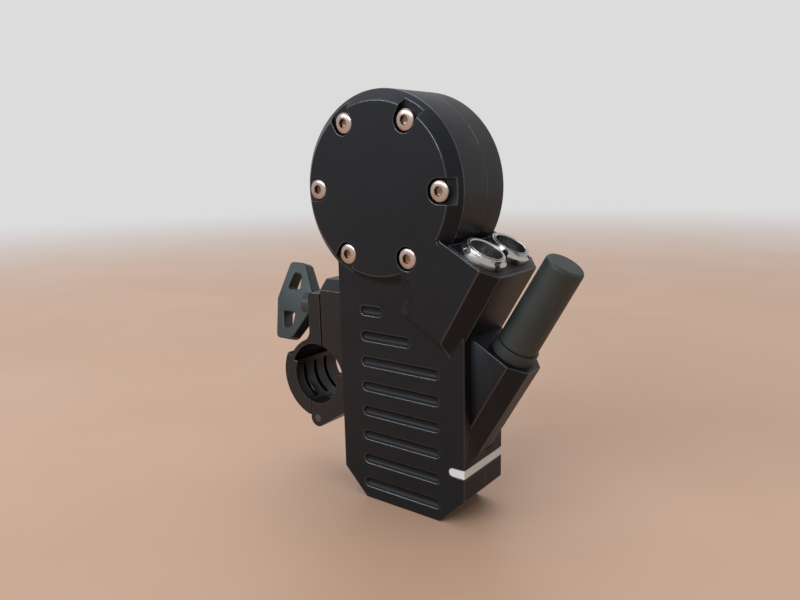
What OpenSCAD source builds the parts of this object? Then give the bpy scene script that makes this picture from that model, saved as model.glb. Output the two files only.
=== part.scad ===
// Follow focus drive unit: a motor that clamps on a camera rod and turns a lens ring.
// Lengths in mm. X runs right, Y runs back, Z runs up, and the front faces -Y.
// The origin is the middle of the base, half-way through the body.

/* [Body] */
// Width of the body across the front
body_w = 38; // [36:0.5:42]
// Thickness of the body, front plate to rear cover
body_t = 18.3; // [18:0.1:21]
// Size of the 45 degree cut at each bottom corner
corner_cut = 7.3; // [5:0.1:8.5]
// How far the seam between the housings lies behind the middle
seam_back = 0.85; // [0.6:0.05:1.2]
// Wall of the front plate
front_wall = 1.65; // [1.4:0.05:2]
// Wall at the rear
rear_wall = 2.2; // [1.8:0.1:2.6]
// Wall at the sides
side_wall = 2.5; // [2.2:0.1:3]
// Wall at the base
base_wall = 3; // [2:0.1:4]
// Height of the top of the electronics bay
bay_top = 57; // [56.5:0.1:58]

/* [Grooves] */
// Rows of grooves in the front plate
groove_rows = 8; // [5:1:8]
// Height of the lowest groove
groove_first = 4.48; // [3:0.1:6]
// Spacing of the rows
groove_pitch = 6.72; // [5:0.1:6.8]
// Width of a groove
groove_w = 2.6; // [1.8:0.1:3]
// Depth of a groove
groove_deep = 0.9; // [0.5:0.05:1.1]
// Left end of the grooves, measured from the middle
groove_left = 12.07; // [8:0.1:14]
// Right end of the long grooves, measured from the middle
groove_right = 11.9; // [8:0.1:12.5]
// How much shorter each of the top rows gets
groove_step = 8.42; // [4:0.1:8.6]
// Rows at the top that get shorter
groove_short = 2; // [0:1:2]

/* [Light strip] */
// Height of the strip's lower edge
strip_z = 13.15; // [10:0.1:13.3]
// Height of the strip itself
strip_h = 2.1; // [1.4:0.1:2.1]
// How far the strip reaches round onto the front and the rear
strip_reach = 4.4; // [3:0.1:6]
// Depth of the strip in the wall
strip_deep = 1.2; // [0.8:0.1:1.3]

/* [Head] */
// Margin of the round head outside the circle of its screws
head_margin = 5.24; // [5:0.02:6]
// Offset of the head's axis from the middle of the body
head_x = -4.3; // [-5:0.1:-3.8]
// Height of the head's axis
head_z = 81.9; // [81.5:0.1:84]
// How far the front disc stands out from the front plate
disc_rise = 2.8; // [2.4:0.1:3.2]
// Front wall of the head
disc_wall = 2; // [1.9:0.1:2.4]
// Break on the head's rear edge
rear_edge = 0.4; // [0.2:0.1:1]
// Web between the housing screws and the motor plate's seat
screw_web = 0.56; // [0.5:0.02:1]
// Housing screws on the circle
screw_count = 6; // [3:1:6]
// Diameter of the housing screws' thread
screw_d = 2.9; // [2.5:0.1:3]
// Diameter of the housing screws' heads
screw_head_d = 5.3; // [5:0.1:5.6]
// Play round the heads in their counterbores
screw_play = 0.25; // [0.2:0.05:0.4]
// Share of a head's height that is domed
screw_dome = 0.3; // [0.2:0.05:0.8]
// Height of the housing screws' heads
screw_head_h = 1.65; // [1.3:0.05:1.65]
// Length of the housing screws' shanks
screw_len = 15; // [13:0.5:15.5]
// Depth of the counterbores in the disc
screw_sink = 1.7; // [1.65:0.05:2]

/* [Socket boss] */
// Lean of the two slanted bosses from the vertical
boss_tilt = 30; // [28:0.5:32]
// Left side of the boss, across the lean
boss_n0 = -27.1; // [-28:0.1:-26.5]
// Right side of the boss, across the lean
boss_n1 = -7.35; // [-8:0.05:-7]
// Top of the boss, along the lean
boss_top = 68.4; // [67:0.1:69]
// Height of the boss's front face, along the lean
boss_face = 20.8; // [18:0.1:21.5]
// How far the boss stands out behind the rear cover
boss_rear_rise = 4.2; // [4:0.1:5]
// Chamfer on the boss's left edges
boss_cut_l = 4.2; // [3:0.1:4.5]
// Chamfer on the boss's right edges
boss_cut_r = 3.75; // [2.5:0.05:4.2]
// Where the wall between disc and boss leaves the disc, as an angle below its middle
blend_angle = 39.3; // [36:0.1:42]
// How much lower that wall meets the boss
blend_drop = 3; // [2:0.1:4]
// Height of the filled valley above that wall
blend_h = 13.2; // [12:0.1:13.4]
// Thickness of the plate that closes the top of the boss
panel_t = 1.6; // [1.2:0.1:2]
// Margin round that plate
panel_margin = 1.05; // [0.9:0.05:1.2]

/* [Sockets] */
// Position of the sockets across the lean
socket_n = -14.9; // [-15.1:0.05:-14.6]
// Distance between the two sockets
socket_pitch = 11.6; // [11.5:0.05:12]
// How far the middle of the pair lies behind the middle of the body
socket_back = 0.7; // [0.4:0.05:0.9]
// Bore that takes the plug
socket_bore = 7.7; // [7:0.1:7.8]
// Outer diameter of the socket shell
shell_d = 8.6; // [8.5:0.05:8.7]
// Height of the shell's rim over the boss
shell_rise = 2.5; // [2.3:0.1:3]
// Depth of the shell below the top of the boss
shell_deep = 13.4; // [10:0.1:15]
// Clear depth above the insert
socket_deep = 4.6; // [4.2:0.1:6]
// Outer diameter of the ring nut's base
nut_d = 11.4; // [10.8:0.1:11.4]
// Diameter of the ring nut's rim
nut_rim_d = 9.72; // [9.5:0.02:10.4]
// Height of the ring nut's straight base
nut_base_h = 1.2; // [0.7:0.1:1.4]
// Height of the ring nut
nut_h = 2.3; // [1.8:0.1:2.3]
// Height of the rim above the ring nut's cone
nut_rim_h = 0.55; // [0.4:0.05:0.7]
// Width of the spanner slots in the ring nut
nut_slot = 1.5; // [1:0.1:2]
// Wall left inside the spanner slots
nut_web = 0.4; // [0.3:0.05:0.6]
// Turn of each ring nut when tight, front and rear
nut_turn_front = -20; // [-45:1:45]
nut_turn_rear = 20; // [-45:1:45]
// Contacts on the circle in each insert
pin_count = 5; // [4:1:7]

/* [Antenna] */
// Position of the antenna's axis, across the lean
antenna_n = 1; // [0.8:0.1:1.2]
// Right face of the antenna boss, across the lean
ant_boss_n1 = 7.7; // [7.4:0.1:8]
// Front face of the antenna boss, measured from the middle
ant_boss_front = 6.2; // [6:0.1:7]
// Rear face of the antenna boss, measured from the middle
ant_boss_rear = 7.95; // [7.4:0.05:8]
// Chamfer on the antenna boss's edges
ant_boss_cut = 4; // [3:0.1:4.2]
// Top of the antenna boss, along the lean
ant_boss_top = 50.8; // [50:0.1:52]
// Diameter of the collar
collar_d = 10.8; // [10.2:0.1:11]
// Height of the collar
collar_h = 2.8; // [2.2:0.1:3.4]
// Diameter of the antenna at its foot
whip_d0 = 9.9; // [9:0.1:10.2]
// Diameter of the antenna at its tip
whip_d1 = 9.4; // [8.4:0.1:9.6]
// Length of the antenna above its collar
whip_len = 23; // [18:0.1:60]
// Diameter of the antenna's threaded connector
stud_d = 6.3; // [5.4:0.1:6.3]

/* [Motor] */
// Depth of the stator, from its outside to the gap at the rotor
stator_deep = 5.8; // [5.6:0.1:6.4]
// Rim of the motor plate outside the motor bay
plate_rim = 1.1; // [0.9:0.05:1.2]
// Stator teeth
stator_teeth = 9; // [6:3:9]
// Diameter of the motor shaft
motor_shaft_d = 3; // [2.6:0.1:3]
// Outer diameter of the motor's small bearings
small_bearing_d = 6; // [5.6:0.1:6.2]
// Width of the motor's small bearings
small_bearing_w = 2; // [1.8:0.1:2.2]
// Thickness of the plate between motor and gears
motor_plate_t = 1.4; // [1.2:0.1:1.6]

/* [Gear train] */
// Module of the planet stage
gear_module = 0.5; // [0.48:0.01:0.5]
// Teeth of the sun gear
sun_teeth = 12; // [12:6:12]
// Teeth of a planet gear
planet_teeth = 18; // [18:6:18]
// Number of planet gears
planet_count = 3; // [3:1:3]
// Rim of the ring gear outside its teeth
ring_rim = 2.45; // [2.3:0.05:2.6]
// Face width of the planet gears
planet_w = 3.2; // [2.6:0.1:3.3]
// Thickness of the planet carrier
carrier_t = 1.4; // [1.2:0.1:1.5]
// Diameter of the planet pins
planet_pin_d = 2; // [1.6:0.1:2.4]
// Diameter of the output shaft
output_d = 6; // [5.6:0.1:6.2]
// Outer diameter of the output bearing
output_bearing_d = 12; // [11.6:0.1:12.6]
// Width of the output bearing
output_bearing_w = 3; // [2.8:0.1:3.1]
// Radius of the hub on the back of the head
hub_r = 8.5; // [8:0.1:9]
// How far the hub stands out
hub_rise = 1.6; // [1.5:0.1:2]

/* [Drive gear] */
// Module of the gear that turns the lens ring
drive_module = 0.8; // [0.7:0.05:0.8]
// Teeth of the drive gear
drive_teeth = 35; // [30:1:35]
// Face width of the drive gear
drive_w = 10; // [8:0.5:14]
// Thickness of the gear's web
drive_web = 3; // [2.5:0.1:4]

/* [Rod clamp] */
// Diameter of the camera rod
rod_d = 15; // [15:0.5:15.5]
// Distance of the rod's axis from the side of the body
rod_out = 10.6; // [10.4:0.1:11]
// Height of the rod's axis
rod_z = 30.3; // [29.5:0.1:31]
// Length of the clamp along the rod
clamp_w = 16.9; // [16.5:0.1:17.6]
// Diameter of the wider seat above the cradle
relief_d = 19; // [18.6:0.1:19.2]
// Outer radius of the jaw
jaw_r = 11.85; // [11.4:0.05:12.2]
// Height of the flat face between jaw and block
split_z = 57.85; // [57:0.05:59]
// Chamfer on the top edges of the block
block_cut = 2.75; // [2:0.05:3]
// Height of the jaw's flange
flange_z = 54.05; // [53:0.05:55]
// Thickness of the jaw's flange
flange_t = 4.25; // [4:0.05:4.6]
// Gap between the jaw's flange and the block
jaw_gap = 0.4; // [0.3:0.05:0.5]
// Diameter of the hinge pin
hinge_d = 2; // [1.6:0.1:2.2]
// Radius of the hinge knuckle
knuckle_r = 2.5; // [2.3:0.05:2.7]
// Width of the jaw's lug between the two leaves
lug_w = 5.4; // [4:0.1:6]
// Ribs cut in the jaw's cradle
rib_count = 3; // [1:1:3]
// Distance of the grooves between the ribs
rib_pitch = 4.2; // [3.6:0.1:4.4]

/* [Wing knob] */
// Height of the clamp screw's axis
knob_z = 48.66; // [48:0.05:49.2]
// Diameter of the clamp screw
clamp_screw_d = 3.9; // [3.4:0.1:4]
// Turn of the wings about the screw
knob_turn = 19; // [0:1:90]
// Half span of the wings
wing_span = 11.3; // [10:0.1:12]
// Length of the wings from hub to tip
wing_len = 12.6; // [11:0.1:14]
// Rounding of the wings' outer corners
wing_round = 1.4; // [1:0.1:1.6]
// Thickness of the wings at the middle
wing_t0 = 4.5; // [4:0.1:5]
// Thickness of the wings at their tips
wing_t1 = 3.4; // [2.8:0.1:3.8]
// Radius of the knob's hub
knob_hub_r = 3.5; // [3:0.1:3.8]

/* [Hidden] */
$fn = 72;
fit = 0.05;                       // radial clearance where pieces seat in each other
seat = 0.1;                       // clearance round plates and edges
pi = 3.14159265;
front_y = -body_t / 2;
rear_y = body_t / 2;
disc_y = front_y - disc_rise;
half_w = body_w / 2;
// round sizes of the head grow from the gear stage outwards
ring_teeth = sun_teeth + 2 * planet_teeth;
motor_bay_r = gear_module * (ring_teeth / 2 + 1) + ring_rim + fit;
rotor_r = motor_bay_r - stator_deep;
plate_r = motor_bay_r + plate_rim;
screw_hole_r = screw_d / 2 + 0.15;
counterbore_r = screw_head_d / 2 + screw_play;
screw_ring = plate_r + screw_web + screw_hole_r;
head_r = screw_ring + head_margin;
head = [head_x, head_z];
disc_r = head_r - disc_rise;
sink_y = disc_y + screw_sink;
bay_front = front_y + front_wall;
bay_rear = rear_y - front_wall;
// the slanted frame: n runs across the lean, a runs along it
ts = sin(boss_tilt);
tc = cos(boss_tilt);
boss_y0 = disc_y;
boss_y1 = rear_y + boss_rear_rise;
boss_low = boss_top - boss_face;
side_top = (half_w - boss_n1 * tc) / ts * tc - boss_n1 * ts;
side_left = head_z - sqrt(pow(head_r, 2) - pow(half_w + head_x, 2));
boss_root = half_w - 1.2;         // the antenna boss laps this far into the side wall
// insert: it drops in from above and rests on a lip at the foot of the shell
insert_top = shell_rise - socket_deep;
insert_low = 0.6 - shell_deep;
insert_r = socket_bore / 2 - 0.35;
// motor stack, measured from the front wall of the head
motor_front = disc_y + disc_wall;
front_hub_y = motor_front + small_bearing_w + 0.2;
stator_y = motor_front + 2.35;
plate_front = seam_back - motor_plate_t;
bay_step = 0.8;                   // ledge that carries the stator
board_t = 1;
// main board: its place in the bay, on posts behind the front wall
board_half = half_w - side_wall - 2.3;
board_low = base_wall + 8;
board_high = bay_top - 9.5;
board_w = 2 * board_half;
board_h = board_high - board_low;
main_board_t = 1.6;
post_h = 2.9;
post_r = 1.8;
board_screw_r = 1;
board_screw_len = 3.6;
board_y = bay_front + post_h;
shaft_r = motor_shaft_d / 2;
// gear stage, measured from the rear face of the hub
hub_y = rear_y + hub_rise;
hub_lip = 0.8;
bearing_back = hub_y - hub_lip;
bearing_front = bearing_back - output_bearing_w;
gear_floor = rear_y - rear_wall;
carrier_back = gear_floor - 0.25;
carrier_front = carrier_back - carrier_t;
planet_back = carrier_front - 0.2;
planet_front = planet_back - planet_w;
ring_back = carrier_front - 0.1;
sun_r = gear_module * sun_teeth / 2;
planet_r = gear_module * planet_teeth / 2;
orbit = sun_r + planet_r;
carrier_r = orbit + planet_pin_d / 2 + 1.7;
pressure = 25;
backlash = 0.12;
output_r = output_d / 2;
// drive gear
drive_y0 = hub_y + 0.4;
drive_y1 = drive_y0 + drive_w;
drive_pr = drive_module * drive_teeth / 2;
// rod clamp
rod = [-half_w - rod_out, rod_z];
rod_r = rod_d / 2;
relief = [rod[0] + 0.7, rod_z];
relief_r = relief_d / 2;
block_x = -half_w - 7.6;          // face of the block beside the gap
flange_x1 = block_x - jaw_gap;
flange_x0 = flange_x1 - flange_t;
clamp_y = clamp_w / 2;
hinge = [rod[0] + 0.1, rod_z - rod_r - 4.5];
leaf_x = rod[0] - 2.1;            // where the jaw's arc ends beside the block's leaf
jaw_split = 0.15;
jaw_top_angle = 152;
slot_w = lug_w + 0.6;
hinge_clear = knuckle_r + 0.3;
block_screw_y = -3.6;
block_screw_z = [43, 54];
ledge_z = rod_z + 2;
clamp_screw_r = clamp_screw_d / 2;
// wing knob along X, measured from the jaw's flange
washer_t = 0.5;
knob_x1 = flange_x0 - 0.1 - washer_t;
hub_x0 = knob_x1 - 5.5;
wing_x0 = hub_x0 - wing_len;

// ---- placing ----
// a flat shape in X and Z, drawn out along Y
module along_y(y0, y1) {
  translate([0, y1, 0]) rotate([90, 0, 0]) linear_extrude(height = y1 - y0) children();
}

module ycyl(y0, y1, r, at = head) {
  translate([at[0], y0, at[1]]) rotate([-90, 0, 0]) cylinder(h = y1 - y0, r = r);
}

module ycone(y0, y1, r0, r1, at = head) {
  translate([at[0], y0, at[1]]) rotate([-90, 0, 0])
    cylinder(h = y1 - y0, r1 = r0, r2 = r1);
}

module xcyl(x0, x1, r, y, z) {
  translate([x0, y, z]) rotate([0, 90, 0]) cylinder(h = x1 - x0, r = r);
}

module at_head(y) {
  translate([head_x, y, head_z]) rotate([-90, 0, 0]) children();
}

module tilted() {
  rotate([0, boss_tilt, 0]) children();
}

function socket_y(i) = socket_back + (i - 0.5) * socket_pitch;

module at_socket(i) {
  tilted() translate([socket_n, socket_y(i), boss_top]) children();
}

module at_antenna() {
  tilted() translate([antenna_n, seam_back, ant_boss_top]) children();
}

module tube(h, r, bore) {
  difference() {
    cylinder(h = h, r = r);
    translate([0, 0, -1]) cylinder(h = h + 2, r = bore);
  }
}

// ---- outlines ----
module plate_outline() {
  polygon([[corner_cut - half_w, 0], [half_w - corner_cut, 0], [half_w, corner_cut],
           [half_w, side_top], [head_x, head_z - head_r / 2],
           [-half_w, side_left], [-half_w, corner_cut]]);
}

module bay_outline() {
  w = half_w - side_wall;
  cut = corner_cut - 1;
  polygon([[cut - w, base_wall], [w - cut, base_wall], [w, base_wall + cut],
           [w, bay_top], [-w, bay_top], [-w, base_wall + cut]]);
}

// chamfered rectangle grown by g on every side
function chamfered(x0, x1, y0, y1, cl, cr, g = 0) =
  let (l = cl + 0.586 * g, r = cr + 0.586 * g)
  [[x0 - g, y0 - g + l], [x0 - g + l, y0 - g], [x1 + g - r, y0 - g], [x1 + g, y0 - g + r],
   [x1 + g, y1 + g - r], [x1 + g - r, y1 + g], [x0 - g + l, y1 + g], [x0 - g, y1 + g - l]];

// ---- bosses ----
module socket_boss(g = 0) {
  tilted() intersection() {
    linear_extrude(height = boss_top + g)
      polygon(chamfered(boss_n0, boss_n1, boss_y0, boss_y1, boss_cut_l, boss_cut_r, g));
    translate([boss_n0 - 5, 0, 0]) rotate([90, 0, 90])
      linear_extrude(height = boss_n1 - boss_n0 + 10)
        polygon([[boss_y0 - g, boss_low - g], [front_y, boss_low - disc_rise - g],
                 [rear_y, boss_low - boss_rear_rise - g], [boss_y1 + g, boss_low - g],
                 [boss_y1 + g, boss_top + g], [boss_y0 - g, boss_top + g]]);
  }
}

// fills the narrow valley between disc and boss down to a slanted wall
module disc_blend() {
  disc = [head_x * tc - head_z * ts, head_x * ts + head_z * tc];
  p = disc + disc_r * [cos(blend_angle), -sin(blend_angle)];
  q = [boss_n0 + boss_cut_l, p[1] - blend_drop];
  ends = 1.5;                     // how far it runs on into disc and boss
  foot = disc_rise + 0.5;
  tilted() translate([p[0], 0, p[1]]) rotate([0, atan2(p[1] - q[1], q[0] - p[0]), 0])
    translate([-ends, 0, 0]) rotate([90, 0, 90])
      linear_extrude(height = norm(q - p) + 2 * ends)
        polygon([[disc_y, 0], [disc_y + foot, -foot], [disc_y + foot, blend_h],
                 [disc_y, blend_h]]);
}

module antenna_boss(g = 0) {
  f = -ant_boss_front - g;
  r = ant_boss_rear + g;
  n = ant_boss_n1 + g;
  c = ant_boss_cut + 0.586 * g;
  intersection() {
    tilted() linear_extrude(height = ant_boss_top + g)
      polygon([[boss_n1 - 1.6, f], [n - c, f], [n, f + c], [n, r - c], [n - c, r],
               [boss_n1 - 1.6, r]]);
    translate([boss_root - g, -20, 0]) cube([40, 40, 80]);
  }
}

// ---- housings ----
module head_positions() {
  for (i = [0 : screw_count - 1])
    translate([head_x, 0, head_z]) rotate([0, -i * 360 / screw_count, 0])
      translate([screw_ring, 0, 0]) children();
}

function cover_spots() = [[corner_cut - half_w - 0.9, corner_cut + 0.1],
                          [half_w - corner_cut + 0.9, corner_cut + 0.1],
                          [-8, bay_top - 3.5]];

module groove(z, x0, x1) {
  r = (pow(groove_w / 2, 2) + pow(groove_deep, 2)) / (2 * groove_deep);
  y = front_y + groove_deep - r;
  h = groove_w / 2;
  xcyl(x0 + h, x1 - h, r, y, z);
  for (x = [x0 + h, x1 - h])
    translate([x, y, z]) sphere(r = r);
}

module grooves() {
  for (i = [0 : groove_rows - 1]) {
    cut = max(0, i - (groove_rows - 1 - groove_short)) * groove_step;
    groove(groove_first + i * groove_pitch, -groove_left, groove_right - cut);
  }
}

// the strip: a U that wraps the right side, grown by g for its pocket
module strip(g = 0) {
  z0 = strip_z - g;
  h = strip_h + 2 * g;
  x0 = half_w - strip_reach;
  inner = half_w - strip_deep - g;
  for (y = [front_y, rear_y - strip_deep - g]) {
    translate([x0 + strip_h / 2, y, z0])
      cube([strip_reach - strip_h / 2, strip_deep + g, h]);
    ycyl(y, y + strip_deep + g, h / 2, [x0 + strip_h / 2, strip_z + strip_h / 2]);
  }
  translate([inner, front_y, z0]) cube([strip_deep + g, body_t, h]);
}

module cover_posts(y0, y1) {
  for (p = cover_spots()) ycyl(y0, y1, 2.8, p);
}

module front_housing() {
  color("dimgray") difference() {
    union() {
      difference() {
        union() {
          along_y(front_y, seam_back) plate_outline();
          ycyl(front_y, seam_back, head_r);
          ycone(disc_y, front_y, disc_r, head_r);
          socket_boss();
          disc_blend();
          antenna_boss();
        }
        along_y(bay_front, seam_back + 0.01) bay_outline();
        // motor bay, with the ledge for the stator and the seat for the motor plate
        ycyl(motor_front, seam_back + 1, motor_bay_r - bay_step);
        ycyl(stator_y, seam_back + 1, motor_bay_r);
        ycyl(plate_front, seam_back + 1, plate_r);
        // wire way from the bay to the encoder board
        translate([head_x - 3, bay_front, bay_top - 1]) cube([6, 3, 9]);
        translate([head_x - 3, motor_front + 0.7, bay_top + 5]) cube([6, 3.5, 8]);
      }
      cover_posts(bay_front - 0.2, seam_back);
      board_posts();
      encoder_posts();
      ycyl(motor_front - 0.2, front_hub_y, small_bearing_d / 2 + 1.2);
    }
    ycyl(front_hub_y - small_bearing_w, front_hub_y + 1, small_bearing_d / 2 + fit);
    for (p = cover_spots()) ycyl(bay_front + 1.2, seam_back + 1, 1.25, p);
    board_spots()
      ycyl(board_y + main_board_t - board_screw_len - seat, board_y + 1,
           board_screw_r + fit, [0, 0]);
    head_positions() {
      ycyl(disc_y - 1, sink_y, counterbore_r, [0, 0]);
      ycyl(sink_y - 1, seam_back + 1, screw_hole_r, [0, 0]);
    }
    // the counterbores break out through the disc's edge, clear of the socket boss
    for (i = [0 : screw_count - 2])
      translate([head_x, 0, head_z]) rotate([0, -i * 360 / screw_count, 0])
        translate([screw_ring, disc_y - 1, -counterbore_r])
          cube([head_r - screw_ring, screw_sink + 1, 2 * counterbore_r]);
    grooves();
    strip(fit);
    panel_pocket();
    for (i = [0, 1]) at_socket(i) socket_hole();
    // wire way behind the rear socket
    tilted() translate([socket_n, socket_y(1) - 1.5, boss_low - boss_rear_rise - 2])
      cylinder(h = 14, r = 2.8);
    // antenna bore and its wire way
    at_antenna() translate([0, 0, -10.8]) cylinder(h = 12, r = stud_d / 2 + fit);
    at_antenna() translate([0, -1.8, -22]) cylinder(h = 14, r = 1.1);
    // holes for the clamp block's screws
    for (z = block_screw_z)
      xcyl(-half_w - 1, side_wall - half_w + 1, 1.6, block_screw_y, z);
  }
}

module board_spots() {
  for (x = [2 - board_half, board_half - 2]) for (z = [board_low + 2, board_high - 2])
    translate([x, 0, z]) children();
}

module board_posts() {
  board_spots() ycyl(bay_front - 0.2, board_y, post_r, [0, 0]);
}

module encoder_posts() {
  for (a = [30, 150, 270])
    translate([head_x, 0, head_z]) rotate([0, a, 0])
      ycyl(motor_front - 0.2, motor_front + 0.8, 1.2, [11.5, 0]);
}

module rear_housing() {
  color("dimgray") difference() {
    union() {
      difference() {
        union() {
          along_y(seam_back, rear_y) plate_outline();
          ycyl(seam_back, rear_y - rear_edge, head_r);
          ycone(rear_y - rear_edge, rear_y, head_r, head_r - rear_edge);
        }
        along_y(seam_back - 1, bay_rear) bay_outline();
      }
      ycyl(rear_y - 0.2, hub_y, hub_r);
      cover_posts(seam_back, bay_rear + 0.2);
    }
    socket_boss(seat);
    antenna_boss(seat);
    // gear bay: seat of the ring gear, then room for the carrier
    ycyl(seam_back - 1, ring_back, motor_bay_r);
    ycyl(ring_back - 1, gear_floor, carrier_r + 1.5);
    ycyl(gear_floor - 1, bearing_back, output_bearing_d / 2 + fit);
    ycyl(bearing_back - 1, hub_y + 1, output_bearing_d / 2 - 1.2);
    head_positions() ycyl(seam_back - 1, seam_back + 5.8, screw_d / 2 + 0.1, [0, 0]);
    for (p = cover_spots()) {
      ycyl(seam_back - 1, rear_y + 1, 1.45, p);
      ycone(rear_y - 1.35, rear_y + 0.05, 1.3, 2.7, p);
    }
    strip(fit);
  }
}

// screw with a domed head: the head stands up from z = 0, the shank hangs down
module button_screw(d, len, head_d, head_h, hex = 2, domed = 0.78) {
  rise = head_h * domed;
  dome = (pow(head_d / 2, 2) + pow(rise, 2)) / (2 * rise);
  difference() {
    union() {
      intersection() {
        cylinder(h = head_h, r = head_d / 2);
        translate([0, 0, head_h - dome]) sphere(r = dome);
      }
      translate([0, 0, -len]) cylinder(h = len + 0.1, r = d / 2);
    }
    translate([0, 0, head_h * 0.4]) cylinder(h = head_h, r = hex / 1.732, $fn = 6);
  }
}

module flat_screw(d, len, head_d) {
  difference() {
    union() {
      translate([0, 0, -(head_d - d) / 2]) cylinder(h = (head_d - d) / 2, r1 = d / 2, r2 = head_d / 2);
      translate([0, 0, -len]) cylinder(h = len - (head_d - d) / 2 + 0.01, r = d / 2);
    }
    translate([0, 0, -0.8]) cylinder(h = 1, r = 0.8, $fn = 6);
  }
}

module housing_screws() {
  color("silver") head_positions() translate([0, sink_y, 0]) rotate([90, 0, 0])
    button_screw(screw_d, screw_len, screw_head_d, screw_head_h, 2, screw_dome);
}

module rear_cover_screws() {
  color("silver") for (p = cover_spots())
    translate([p[0], rear_y - 0.05, p[1]]) rotate([-90, 0, 0]) flat_screw(2.4, 13, 5);
}

module light_strip() {
  color("white") strip();
}

// ---- sockets ----
module panel_shape(g) {
  n0 = -20.9;
  polygon([[n0 - g, boss_y0 + panel_margin - g],
           [boss_n1 - boss_cut_r - 0.4 * panel_margin + 0.4 * g, boss_y0 + panel_margin - g],
           [boss_n1 - panel_margin + g, boss_y0 + boss_cut_r + 0.4 * panel_margin - 0.4 * g],
           [boss_n1 - panel_margin + g, boss_y1 - boss_cut_r - 0.4 * panel_margin + 0.4 * g],
           [boss_n1 - boss_cut_r - 0.4 * panel_margin + 0.4 * g, boss_y1 - panel_margin + g],
           [n0 - g, boss_y1 - panel_margin + g]]);
}

module panel_pocket() {
  tilted() translate([0, 0, boss_top - panel_t]) linear_extrude(height = panel_t + 0.3)
    panel_shape(seat);
}

module socket_panel() {
  color("gray") difference() {
    tilted() translate([0, 0, boss_top - panel_t]) linear_extrude(height = panel_t)
      panel_shape(0);
    for (i = [0, 1]) at_socket(i)
      translate([0, 0, -panel_t - 1]) cylinder(h = panel_t + 2, r = shell_d / 2 + fit);
  }
}

// the stepped hole in the boss: the shell's flange rests on the step
module socket_hole() {
  translate([0, 0, -panel_t - 1.2]) cylinder(h = 3, r = shell_d / 2 + 0.6);
  translate([0, 0, 1.6 - shell_deep - 6]) cylinder(h = shell_deep + 4, r = shell_d / 2 + seat);
}

module socket_shell() {
  difference() {
    union() {
      translate([0, 0, -shell_deep]) cylinder(h = shell_deep + shell_rise, r = shell_d / 2);
      translate([0, 0, -panel_t - 1.2]) cylinder(h = 1.2, r = shell_d / 2 + 0.5);
    }
    translate([0, 0, insert_top]) cylinder(h = socket_deep + 1, r = socket_bore / 2);
    translate([0, 0, insert_low]) cylinder(h = shell_deep, r = insert_r + fit);
    translate([0, 0, -shell_deep - 1]) cylinder(h = 3, r = insert_r - 0.3);
    translate([0, 0, shell_rise - 0.25])
      cylinder(h = 0.3, r1 = socket_bore / 2, r2 = socket_bore / 2 + 0.3);
  }
}

// ring nut: a wide base, a cone and a straight rim; the spanner slots stop below the rim
module socket_nut(turn) {
  r = nut_d / 2;
  rim = nut_rim_d / 2;
  bore = shell_d / 2 + fit;
  rotate([0, 0, turn]) difference() {
    rotate_extrude()
      polygon([[bore, 0], [r, 0], [r, nut_base_h], [rim, nut_h - nut_rim_h],
               [rim, nut_h], [bore, nut_h]]);
    for (a = [0, 90, 180, 270]) rotate([0, 0, a])
      translate([bore + nut_web, -nut_slot / 2, -1]) cube([r, nut_slot, nut_h - nut_rim_h + 1]);
  }
}

module insert_pins() {
  for (i = [0 : pin_count - 1]) rotate([0, 0, i * 360 / pin_count])
    translate([2.1, 0, 0]) children();
}

module socket_insert() {
  difference() {
    translate([0, 0, insert_low])
      cylinder(h = insert_top - insert_low, r = insert_r);
    insert_pins() translate([0, 0, insert_low - 1])
      cylinder(h = insert_top - insert_low + 2, r = 0.5);
  }
}

module socket_shell_front() { color("silver") at_socket(0) socket_shell(); }
module socket_shell_rear() { color("silver") at_socket(1) socket_shell(); }
module socket_nut_front() { color("silver") at_socket(0) socket_nut(nut_turn_front); }
module socket_nut_rear() { color("silver") at_socket(1) socket_nut(nut_turn_rear); }
module socket_insert_front() { color("black") at_socket(0) socket_insert(); }
module socket_insert_rear() { color("black") at_socket(1) socket_insert(); }

module socket_contacts() {
  color("gold") for (i = [0, 1]) at_socket(i) insert_pins()
    translate([0, 0, insert_low - 1.5]) cylinder(h = insert_top - insert_low + 1.2, r = 0.45);
}

// ---- antenna ----
module antenna_connector() {
  color("goldenrod") at_antenna() difference() {
    translate([0, 0, -10.6]) cylinder(h = 10.6 + collar_h - 0.6, r = stud_d / 2);
    translate([0, 0, -0.5]) cylinder(h = collar_h, r = 2.2);
    translate([0, 0, -11]) cylinder(h = 9, r = 1.4);
  }
}

module antenna_collar() {
  color("darkslategray") at_antenna() difference() {
    cylinder(h = collar_h, r = collar_d / 2);
    translate([0, 0, -1]) cylinder(h = collar_h + 2, r = stud_d / 2 + fit);
  }
}

// neck, tapered sleeve, rounded top edge; a probe reaches down into the connector
module antenna_whip() {
  r0 = whip_d0 / 2;
  r1 = whip_d1 / 2;
  edge = 1;
  color("darkslategray") at_antenna() translate([0, 0, collar_h]) {
    rotate_extrude() union() {
      polygon([[0, 0], [r0 - 0.35, 0], [r0 - 0.35, 0.2], [r0, 0.2], [r1, whip_len - edge],
               [r1 - edge, whip_len], [0, whip_len]]);
      translate([r1 - edge, whip_len - edge]) intersection() {
        circle(r = edge);
        square(edge * 2);
      }
    }
    translate([0, 0, -2.2]) cylinder(h = 2.3, r = 1.6);
  }
}

// ---- electronics ----
module main_board() {
  color("darkgreen") difference() {
    translate([-board_half, board_y, board_low]) cube([board_w, main_board_t, board_h]);
    board_spots() ycyl(board_y - 1, board_y + main_board_t + 1, board_screw_r + seat, [0, 0]);
  }
}

// a component on the board: its corner and size as shares of the board, and its height
module component(u, v, w, h, t) {
  translate([-board_half + u * board_w, board_y + main_board_t, board_low + v * board_h])
    cube([w * board_w, t, h * board_h]);
}

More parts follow.
